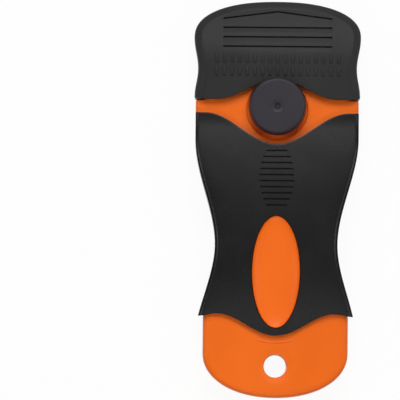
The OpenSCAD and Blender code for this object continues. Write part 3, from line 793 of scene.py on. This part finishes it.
class SCRAPER_OT_front_shell(PieceOperator, bpy.types.Operator):
    """Front half of the hard handle, with the dish round the knob"""
    bl_idname = "scraper.front_shell"
    bl_label = "Front shell"

    def build(self):
        s = sizes("shell")
        bm = core_half_mesh(1)
        depth = s.head_half_t - DISH_Z
        for vert in bm.verts:
            if vert.co.z > MID_Z + 0.8 * s.head_half_t and vert.co.y > EAR_BACK_Y - 10 * MM:
                away = math.hypot(vert.co.x, vert.co.y - KNOB_Y)
                vert.co.z -= depth * (1 - ease((away - s.dish_r) / s.dish_flare))
            elif vert.co.z < MID_Z + 0.01 * MM:
                vert.co.z += s.tail_relief * max(0.0, s.hinge_y - vert.co.y)
            elif vert.co.z > MID_Z + 0.8 * s.tail_half_t:
                away = math.hypot(vert.co.x, vert.co.y - s.hang_y) - s.hang_r
                vert.co.z -= s.hole_sink * (1 - ease(away / s.hole_sink_reach))
        piece = mesh_object("front_shell_skin", bm)
        floor_z, inner = MID_Z + DISH_Z - s.gap_depth, s.dish_r + 0.8 * MM
        gap = lathe([(inner, floor_z), (s.gap_r, floor_z), (s.gap_r + 0.15 * MM, 3 * MID_Z),
                     (inner, 3 * MID_Z), (inner, floor_z)], KNOB_Y - s.gap_shift, 96)
        cut(piece, [hang_cutter(), mesh_object("bore", prism(s.screw_r, 0, 2 * MID_Z)),
                    mesh_object("gap", gap), window_cutter(MID_Z + 0.4 * s.crest_half_t)])
        dress(piece, finish("orange_plastic"), "front_half", "shell", "front_shell")


class SCRAPER_OT_back_shell(PieceOperator, bpy.types.Operator):
    """Back half of the hard handle, with the blade's bed and the nut's pocket"""
    bl_idname = "scraper.back_shell"
    bl_label = "Back shell"

    def build(self):
        s = sizes("shell")
        piece = mesh_object("back_shell_skin", core_half_mesh(-1))
        nut_low, nut_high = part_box("clamp_nut")
        blade_low, blade_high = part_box("blade")
        play = 0.1 * MM
        bed = mesh_object("bed", block((blade_low.x - play, blade_low.y - play, blade_low.z),
                                       (blade_high.x + play, TOE_Y + MM, MID_Z + MM)))
        hex_r = (nut_high.x - nut_low.x) / 2 + play
        cut(piece, [hang_cutter(), mesh_object("bore", prism(s.screw_r, 0, 2 * MID_Z)),
                    mesh_object("seat", prism(hex_r, 0, nut_high.z, 6)), bed])
        dress(piece, finish("orange_plastic"), "handle", "shell", "back_shell")


class SCRAPER_OT_thumb_rest(PieceOperator, bpy.types.Operator):
    """Oval thumb rest of hard plastic in the grip's window, and the thin ridge on the tail"""
    bl_idname = "scraper.thumb_rest"
    bl_label = "Thumb rest"

    def build(self):
        g, s = sizes("grip"), sizes("shell")
        rim, steps = thumb_rim(), 14
        bm = bmesh.new()
        ring = shape_rim(bm, rim, MID_Z + g.thickness)
        shares = [(1 - math.cos(math.pi / 2 * i / steps), 1) for i in range(steps + 1)]
        raise_layers(bm, ring, rim, shares, 0.85 * g.window_half, grip_half_t)
        close_ring(bm, ring, len(rim))
        split_across(bm, len(rim), 8)
        for vert in bm.verts:
            if vert.co.z > MID_Z + 2 * g.thickness:
                away = math.hypot(vert.co.x / g.window_half,
                                  (vert.co.y - g.window_y) / (g.window_len / 2))
                vert.co.z -= g.thumb_depth * math.sqrt(max(0.0, 1 - away * away))
        rest = mesh_object("thumb_rest", bm)
        dress(rest, finish("orange_plastic"), "front_half", "shell")

        bm = bmesh.new()
        radius, width, middle_y = 18.6 * MM, 11.4 * MM, -38.6 * MM
        fade_len, sink = 1.5 * MM, 0.1 * MM
        centre = Vector((0, middle_y + radius, 0))
        turn = width / radius
        start = Matrix.Rotation(-math.pi / 2 - turn / 2, 4, "Z")
        ring = bmesh.ops.create_circle(bm, segments=12, radius=s.ridge_r, cap_ends=True,
                                       matrix=Matrix.Rotation(math.pi / 2, 4, "X"))["verts"]
        bmesh.ops.translate(bm, verts=ring, vec=(radius, 0, 0))
        bmesh.ops.transform(bm, verts=ring, matrix=Matrix.Translation(centre) @ start)
        bmesh.ops.spin(bm, geom=list(bm.verts) + list(bm.edges) + list(bm.faces), cent=centre,
                       axis=(0, 0, 1), angle=turn, steps=32)
        for vert in bm.verts:
            fade = ease((width / 2 - abs(vert.co.x)) / fade_len)
            vert.co.z = MID_Z + core_half_t(vert.co.y) + vert.co.z * fade - sink
        ridge = mesh_object("tail_ridge", bm)
        dress(ridge, finish("orange_plastic"), "front_half", "shell")


def grip_mesh(way):
    """One soft grip: an outer and an inner skin between the two waves, joined round the edge."""
    g = sizes("grip")
    across, rows, curve = 60, 110, 26
    shares = [((g.thickness + inset * sizes("shell").rim_round) / g.crown, rise)
              for inset, rise in CORE_LAYERS]
    layers = (GRIP_LAYERS, shares + [(0.6, 1), (1, 1)])
    bm = bmesh.new()
    tag = bm.verts.layers.int.new("skin")
    for skin in (0, 1):
        verts = bmesh.ops.create_grid(bm, x_segments=2 * across, y_segments=rows, size=1)["verts"]
        for vert in verts:
            vert[tag] = skin
            t, v = abs(vert.co.x), (vert.co.y + 1) / 2
            flip = math.copysign(1, vert.co.x)
            step = (1 - t) * across
            inset, rise = along(layers[skin], min(1.0, step / curve))
            rest = max(0.0, (step - curve) / (across - curve))
            y = foot_wave(0) * (1 - v) + head_wave(0) * v
            for _ in range(8):
                half = (grip_half(y) - inset * g.crown) * (1 - rest)
                y = foot_wave(half) * (1 - v) + head_wave(half) * v
            z = way * rise * (core_half_t(y) if skin else grip_half_t(y))
            z = max(0.0 if skin == 0 else 0.5 * MM, MID_Z + z)
            y += g.foot_undercut * (MID_Z + grip_half_t(g.foot_y) - z) * (1 - v) ** 6
            vert.co = (flip * half, y, z)
    edge = [e for e in bm.edges if e.is_boundary]
    bmesh.ops.bridge_loops(bm, edges=edge)
    outer = [e for e in edge if e.verts[0][tag] == 0 and e.verts[1][tag] == 0
             and any(abs(v.co.z - MID_Z) > 0.2 * MM for v in e.verts)]
    round_edges(bm, outer, g.edge_round, 3, True)
    return bm


class SCRAPER_OT_front_grip(PieceOperator, bpy.types.Operator):
    """Soft grip on the front, with its oval window and its ribs"""
    bl_idname = "scraper.front_grip"
    bl_label = "Front grip"

    def build(self):
        g = sizes("grip")
        piece = mesh_object("front_grip_skin", grip_mesh(1))
        window = window_cutter(MID_Z)
        bm = bmesh.new()
        last = head_wave(0) - g.rib_gap
        pattern = (g.rib_count - 1) * g.rib_pitch
        middle, oval, run = last - pattern / 2, 0.625 * pattern, 0.8 * g.rib_pitch

        def reach(y):
            return g.rib_len / 2 * math.sqrt(max(0.05, 1 - ((y - middle) / oval) ** 2))

        for i in range(g.rib_count):
            y = last - i * g.rib_pitch
            back = reach(y - run) if y > middle else reach(y)
            add_wedge(bm, y, reach(y), back, g.rib_depth, run, 0.04, grip_half_t)
        ribs = mesh_object("ribs", bm)
        cut(piece, [window, ribs])
        dress(piece, finish("soft_rubber"), "front_half", "grip", "front_grip")


class SCRAPER_OT_back_grip(PieceOperator, bpy.types.Operator):
    """Soft grip on the back, flat where the scraper lies"""
    bl_idname = "scraper.back_grip"
    bl_label = "Back grip"

    def build(self):
        piece = mesh_object("back_grip_skin", grip_mesh(-1))
        dress(piece, finish("soft_rubber"), "handle", "grip", "back_grip")


class SCRAPER_OT_cap(PieceOperator, bpy.types.Operator):
    """Pull-off cap, with its arched mouth, its ribs and two rows of raised grip bars"""
    bl_idname = "scraper.cap"
    bl_label = "Cap"

    def build(self):
        c = sizes("cap")
        rim = cap_rim()
        bm = bmesh.new()
        ring = shape_rim(bm, rim, MID_Z)
        shares = curve_shares(CAP_LAYERS, 14)
        raise_layers(bm, ring, rim, shares, c.flank_in, cap_half_t)
        raise_layers(bm, ring, rim, shares, c.flank_in, cap_half_t, -1)
        split_across(bm, len(rim), 70)
        for vert in bm.verts:
            if vert.co.z > MID_Z + 0.9 * cap_half_t(vert.co.y):
                away = (cap_half(vert.co.y) - abs(vert.co.x) - c.bead_in) / c.bead_reach
                fade = 1 - ease((vert.co.y - NOSE_Y + c.nose_round + 3 * MM) / (6 * MM))
                vert.co.z += c.bead_rise * math.exp(-away * away) * fade
        lip = [e for e in bm.edges if all(abs(v.co.y - MOUTH_Y) < 1e-7 for v in e.verts)
               and e.calc_face_angle(0.0) > math.radians(50)]
        round_edges(bm, lip, c.edge_round, 3, True)
        for vert in bm.verts:
            if vert.co.z > MID_Z + 0.5 * MM:
                pull = 1 - ease((vert.co.y - MOUTH_Y) / c.arch_fade)
                vert.co.y += (mouth_wave(vert.co.x) - MOUTH_Y) * pull
        piece = mesh_object("cap_skin", bm)

        upper = MID_Z - c.wall
        pocket = block((-c.pocket_half, MOUTH_Y - 3 * MM, MID_Z - upper),
                       (c.pocket_half, TOE_Y + 0.3 * MM, MID_Z + upper))
        long_edges = [e for e in pocket.edges
                      if abs(e.verts[0].co.y - e.verts[1].co.y) > 5 * MM]
        round_edges(pocket, long_edges, c.pocket_r, 6)
        slot_end = NOSE_Y - 3 * MM
        slot = block((-c.pocket_half, TOE_Y - MM, MID_Z - c.slot_half_t),
                     (c.pocket_half, slot_end, MID_Z + c.slot_half_t))
        ends = [e for e in slot.edges if all(v.co.y > slot_end - MM for v in e.verts)
                and abs(e.verts[0].co.z - e.verts[1].co.z) > MM]
        round_edges(slot, ends, c.nose_round - 3 * MM, 10)
        ribs = bmesh.new()
        lines = [(NOSE_Y - c.rib_back - i * c.rib_pitch, 0.0) for i in range(c.rib_count)]
        lines.append((NOSE_Y - c.bent_back - c.bent_fall, c.bent_fall))
        for y, rise in lines:
            add_wedge(ribs, y, c.rib_len / 2, c.rib_len / 2, c.rib_depth, c.rib_run, 0.3,
                      cap_half_t, rise)
        cut(piece, [mesh_object("pocket", pocket), mesh_object("slot", slot),
                    mesh_object("ribs", ribs)])
        dress(piece, finish("cap_plastic"), "cap", "cap", "cap")

        bars = bmesh.new()
        size = Vector((0.85, 2.3, 0.6)) * MM
        for row in range(2):
            y = c.bar_row_y - row * c.bar_row_gap
            for i in range(c.bar_count):
                x = (i - (c.bar_count - 1) / 2) * c.bar_pitch
                place = Matrix.Translation((x, y, MID_Z + cap_half_t(y)))
                bmesh.ops.create_cube(bars, size=1, matrix=place @ Matrix.Diagonal((*size, 1)))
        round_edges(bars, list(bars.edges), 0.2 * MM, 2)
        low = MID_Z + min(cap_half_t(c.bar_row_y), MID_Z) - 0.25 * MM
        for vert in bars.verts:
            vert.co.z = min(vert.co.z, low + 0.65 * MM)
        dress(mesh_object("cap_grip_bars", bars), finish("cap_plastic"), "cap", "cap")


class SCRAPER_OT_knob(PieceOperator, bpy.types.Operator):
    """Round clamp knob with its hub and dimple"""
    bl_idname = "scraper.knob"
    bl_label = "Knob"

    def build(self):
        k = sizes("clamp")
        low, top = KNOB_LOW.z + k.hub_play, KNOB_HIGH.z
        disc, r, small = top - k.disc_t, k.knob_round, 0.5 * MM
        ring, step = 1.45 * MM, 0.12 * MM
        profile = [(0, low), (k.hub_r - 0.3 * MM, low), (k.hub_r, low + 0.3 * MM),
                   (k.hub_r, disc - 0.3 * MM), (k.hub_r + 0.3 * MM, disc)]
        profile += quarter(KNOB_R - small, disc + small, small, -math.pi / 2, 5)
        profile += [(KNOB_R, disc + 0.35 * k.disc_t)]
        profile += quarter(KNOB_R - k.knob_draft - r, top - r, r, 0, 8)
        profile += [(KNOB_R - k.knob_draft - r - 0.25 * MM, top), (ring + 0.45 * MM, top),
                    (ring + 0.2 * MM, top), (ring, top - step),
                    (k.dimple_r + 0.15 * MM, top - step),
                    (k.dimple_r, top - step - 0.1 * MM), (0.35 * k.dimple_r, top - k.dimple_depth),
                    (0, top - k.dimple_depth)]
        piece = mesh_object("clamp_knob", lathe(profile, KNOB_Y, 128))
        dress(piece, finish("knob_plastic"), "knob", "knob", "knob")


class SCRAPER_OT_fasteners(PieceOperator, bpy.types.Operator):
    """Clamp screw with its thread, nut and washer"""
    bl_idname = "scraper.fasteners"
    bl_label = "Screw, nut and washer"

    def build(self):
        k = sizes("clamp")
        low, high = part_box("clamp_screw")
        r, bottom, top = 2.0 * MM, low.z, high.z - 0.6 * MM
        count = int((top - bottom - 1.2 * MM) / k.thread_pitch)
        profile = [(0, bottom), (r - 0.4 * MM, bottom), (r, bottom + 0.4 * MM)]
        for i in range(count):
            z = bottom + 0.5 * MM + i * k.thread_pitch
            profile += [(r, z), (r - k.thread_depth, z + 0.3 * MM), (r, z + 0.6 * MM)]
        profile += [(r, top), (0, top)]
        screw = mesh_object("clamp_screw_rod", lathe(profile, KNOB_Y, 64))
        dress(screw, finish("zinc_plated_steel"), "knob", "fastener", "clamp_screw")

        low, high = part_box("clamp_nut")
        bm = prism((high.x - low.x) / 2, low.z, high.z, 6)
        round_edges(bm, list(bm.edges), 0.22 * MM, 2)
        nut = mesh_object("clamp_nut_hex", bm)
        bore = r + 0.05 * MM
        profile = [(0, low.z - MM), (bore + 0.4 * MM + MM, low.z - MM), (bore + 0.4 * MM, low.z),
                   (bore, low.z + 0.4 * MM), (bore, high.z + MM), (0, high.z + MM)]
        cut(nut, [mesh_object("bore", lathe(profile, KNOB_Y, 64))])
        dress(nut, finish("zinc_plated_steel"), "handle", "fastener", "clamp_nut")

        low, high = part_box("clamp_washer")
        outer, inner, soft = (high.x - low.x) / 2, r + 0.1 * MM, 0.15 * MM
        profile = [(inner, low.z + soft), (inner + soft, low.z), (outer - soft, low.z),
                   (outer, low.z + soft), (outer, high.z - soft), (outer - soft, high.z),
                   (inner + soft, high.z), (inner, high.z - soft), (inner, low.z + soft)]
        washer = mesh_object("clamp_washer_ring", lathe(profile, KNOB_Y, 72))
        dress(washer, finish("zinc_plated_steel"), "front_half", "fastener", "clamp_washer")


class SCRAPER_OT_blade(PieceOperator, bpy.types.Operator):
    """Finish of the blade, whose solid is right as it is"""
    bl_idname = "scraper.blade"
    bl_label = "Blade"

    def build(self):
        steel = blade_steel()
        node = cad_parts["blade"]
        if not node.material_slots:
            node.data.materials.append(steel)
        for slot in node.material_slots:
            slot.material = steel


class SCRAPER_OT_stage(PieceOperator, bpy.types.Operator):
    """Camera, lamps, white floor and room light"""
    bl_idname = "scraper.stage"
    bl_label = "Stage"

    def build(self):
        s, scene = sizes("stage"), bpy.context.scene
        scene.view_settings.view_transform = "Standard"
        data = bpy.data.cameras.new("camera")
        data.lens = s.lens
        camera = bpy.data.objects.new("camera", data)
        distance = s.view_width * s.lens / data.sensor_width
        back = Vector((0, -math.sin(s.tilt), math.cos(s.tilt))) * distance
        aim = Vector((s.view_x, s.view_y, MID_Z))
        camera.location = aim + Matrix.Rotation(s.roll, 3, "Z") @ back
        camera.rotation_euler = (s.tilt, 0, s.roll)
        scene.collection.objects.link(camera)
        scene.camera = camera

        bm, floor_half = bmesh.new(), 3
        bmesh.ops.create_grid(bm, x_segments=1, y_segments=1, size=floor_half)
        floor = mesh_object("floor", bm)
        floor.data.materials.append(self.white(s.floor))

        self.lamp("front_lamp", (0, 1.15, 1.45), (1.4, 0.9), s.front_power)
        self.lamp("back_lamp", (0, -1.3, 1.2), (1.6, 0.5), s.back_power)
        self.lamp("head_strip", (0, 0.52, 1.75), (1.5, 0.2), s.strip_power)
        self.lamp("foot_strip", (0, -0.38, 1.78), (1.5, 0.2), s.strip_power)
        self.lamp("left_lamp", (-1.3, 0, 1.1), (0.25, 0.9), s.side_power)
        self.lamp("right_lamp", (1.3, 0, 1.1), (0.25, 0.9), s.side_power)
        self.room(s.fill)

    @staticmethod
    def lamp(name, place, size, power):
        """Soft lamp that faces the middle."""
        data = bpy.data.lights.new(name, "AREA")
        data.shape, data.size, data.size_y, data.energy = "RECTANGLE", size[0], size[1], power
        lamp = bpy.data.objects.new(name, data)
        lamp.location = place
        lamp.rotation_euler = Vector(place).to_track_quat("Z", "Y").to_euler()
        bpy.context.scene.collection.objects.link(lamp)

    @staticmethod
    def seen_rays(tree):
        """1 for rays from the camera, or through gloss or glass."""
        paths = tree.nodes.new("ShaderNodeLightPath")
        value = paths.outputs["Is Camera Ray"]
        for name in ("Is Glossy Ray", "Is Transmission Ray"):
            most = tree.nodes.new("ShaderNodeMath")
            most.operation = "MAXIMUM"
            tree.links.new(value, most.inputs[0])
            tree.links.new(paths.outputs[name], most.inputs[1])
            value = most.outputs[0]
        return value

    def white(self, share):
        """Floor that is white to the camera and keeps the shadow."""
        made = bpy.data.materials.new("white_floor")
        made.use_nodes = True
        tree = made.node_tree
        shader = tree.nodes["Principled BSDF"]
        shader.inputs["Base Color"].default_value = (0.85, 0.85, 0.85, 1)
        shader.inputs["Roughness"].default_value = 0.9
        glow = tree.nodes.new("ShaderNodeEmission")
        scale = tree.nodes.new("ShaderNodeMath")
        scale.operation = "MULTIPLY"
        scale.inputs[1].default_value = share
        tree.links.new(self.seen_rays(tree), scale.inputs[0])
        mix = tree.nodes.new("ShaderNodeMixShader")
        tree.links.new(scale.outputs[0], mix.inputs[0])
        tree.links.new(shader.outputs[0], mix.inputs[1])
        tree.links.new(glow.outputs[0], mix.inputs[2])
        tree.links.new(mix.outputs[0], tree.nodes["Material Output"].inputs["Surface"])
        return made

    def room(self, fill):
        """Room's light, whose sky is white to the camera."""
        world = bpy.data.worlds.new("room")
        bpy.context.scene.world = world
        world.use_nodes = True
        tree = world.node_tree
        back = tree.nodes["Background"]
        back.inputs["Color"].default_value = (1, 1, 1, 1)
        paths = tree.nodes.new("ShaderNodeLightPath")
        strength = tree.nodes.new("ShaderNodeMapRange")
        strength.inputs["To Min"].default_value = fill
        strength.inputs["To Max"].default_value = 1.0
        tree.links.new(paths.outputs["Is Camera Ray"], strength.inputs["Value"])
        tree.links.new(strength.outputs["Result"], back.inputs["Strength"])


class SCRAPER_PT_panel(bpy.types.Panel):
    """Lists the pieces of the scraper"""
    bl_idname = "SCRAPER_PT_panel"
    bl_label = "Scraper"
    bl_space_type = "VIEW_3D"
    bl_region_type = "UI"
    bl_category = "Scraper"

    def draw(self, context):
        for operator in OPERATORS:
            self.layout.operator(operator.bl_idname)
        for name in GROUPS:
            group = sizes(name)
            box = self.layout.box()
            for key in group.__annotations__:
                box.prop(group, key)


GROUPS = {"shell": ShellSizes, "grip": GripSizes, "cap": CapSizes, "clamp": ClampSizes,
          "finishes": Finishes, "stage": StageSettings}
OPERATORS = (SCRAPER_OT_stage, SCRAPER_OT_back_shell, SCRAPER_OT_front_shell,
             SCRAPER_OT_thumb_rest, SCRAPER_OT_back_grip, SCRAPER_OT_front_grip,
             SCRAPER_OT_cap, SCRAPER_OT_knob, SCRAPER_OT_fasteners, SCRAPER_OT_blade)


def register():
    for name, group in GROUPS.items():
        bpy.utils.register_class(group)
        setattr(bpy.types.Scene, "scraper_" + name, PointerProperty(type=group))
    for operator in OPERATORS:
        bpy.utils.register_class(operator)
    bpy.utils.register_class(SCRAPER_PT_panel)


def unregister():
    bpy.utils.unregister_class(SCRAPER_PT_panel)
    for operator in reversed(OPERATORS):
        bpy.utils.unregister_class(operator)
    for name, group in reversed(GROUPS.items()):
        delattr(bpy.types.Scene, "scraper_" + name)
        bpy.utils.unregister_class(group)


def main():
    register()
    bpy.ops.scraper.stage()
    bpy.ops.scraper.back_shell()
    bpy.ops.scraper.front_shell()
    bpy.ops.scraper.thumb_rest()
    bpy.ops.scraper.back_grip()
    bpy.ops.scraper.front_grip()
    bpy.ops.scraper.cap()
    bpy.ops.scraper.knob()
    bpy.ops.scraper.fasteners()
    bpy.ops.scraper.blade()


if __name__ == "__main__":
    main()
